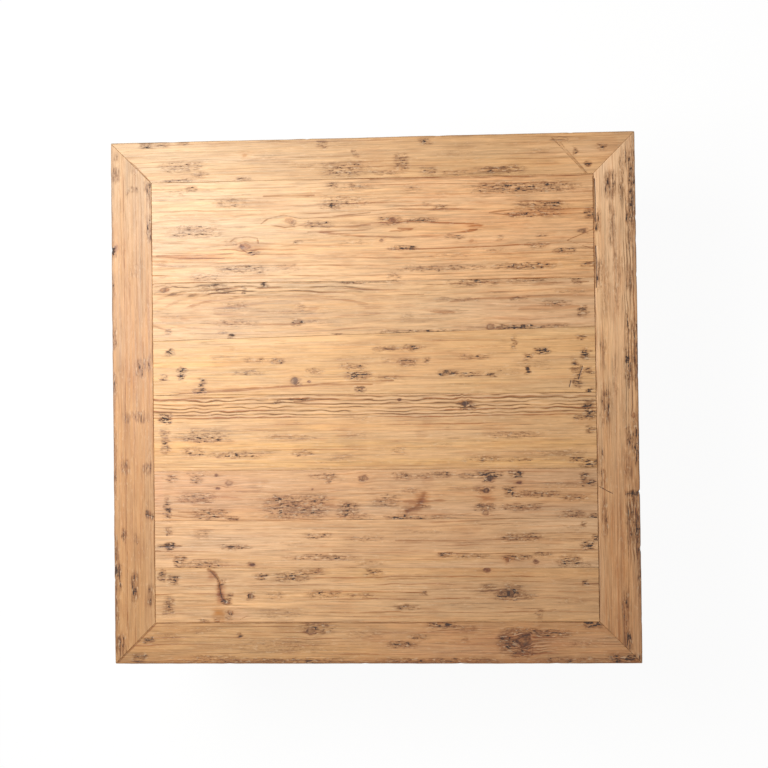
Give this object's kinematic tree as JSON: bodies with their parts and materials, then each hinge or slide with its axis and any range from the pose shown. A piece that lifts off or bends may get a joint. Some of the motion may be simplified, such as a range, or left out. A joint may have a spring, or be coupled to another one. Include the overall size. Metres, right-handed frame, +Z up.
{
  "type": "dining table",
  "caption": "Square dining table: a panel of wide, weathered pine boards in a mitred frame, on square legs joined by aprons.",
  "frame": {"origin": "on the floor, under the middle of the top", "axes": "+Z up; +X along the boards, to the right in the picture; +Y to the back, upwards in the picture"},
  "size_m": [1.524, 1.524, 0.762],
  "materials": {
    "pine_panel": "weathered pine boards, planed and satin waxed, with knots and dark residue in the grain",
    "pine_frame": "the same wood, a little darker, with raised grain and worn edges",
    "pine_base": "reclaimed pine, planed and satin waxed",
    "pine_inner": "planed pine, bare",
    "hardwood_spline": "planed beech, glued in",
    "steel_screws": "zinc plated, dull",
    "steel_bolts": "zinc plated",
    "glide_plastic": "moulded, dark brown"
  },
  "bodies": {
    "root": {"plank_1": "pine_panel", "plank_2": "pine_panel", "plank_3": "pine_panel", "plank_4": "pine_panel", "plank_5": "pine_panel", "plank_6": "pine_panel", "plank_7": "pine_panel", "frame_back": "pine_frame", "frame_front": "pine_frame", "frame_left": "pine_frame", "frame_right": "pine_frame", "mitre_splines": "hardwood_spline", "batten_left": "pine_inner", "batten_middle": "pine_inner", "batten_right": "pine_inner", "batten_screws": "steel_screws", "leg_front_left": "pine_base", "leg_front_right": "pine_base", "leg_back_left": "pine_base", "leg_back_right": "pine_base", "apron_front": "pine_base", "apron_back": "pine_base", "apron_left": "pine_base", "apron_right": "pine_base", "middle_rail": "pine_inner", "corner_block_front_left": "pine_inner", "corner_block_front_right": "pine_inner", "corner_block_back_left": "pine_inner", "corner_block_back_right": "pine_inner", "corner_block_screws": "steel_screws", "hanger_bolts": "steel_bolts", "bolt_washers": "steel_bolts", "bolt_nuts": "steel_bolts", "top_buttons": "pine_inner", "button_screws": "steel_screws", "foot_glides": "glide_plastic", "glide_nails": "steel_screws"}
  },
  "joints": []
}
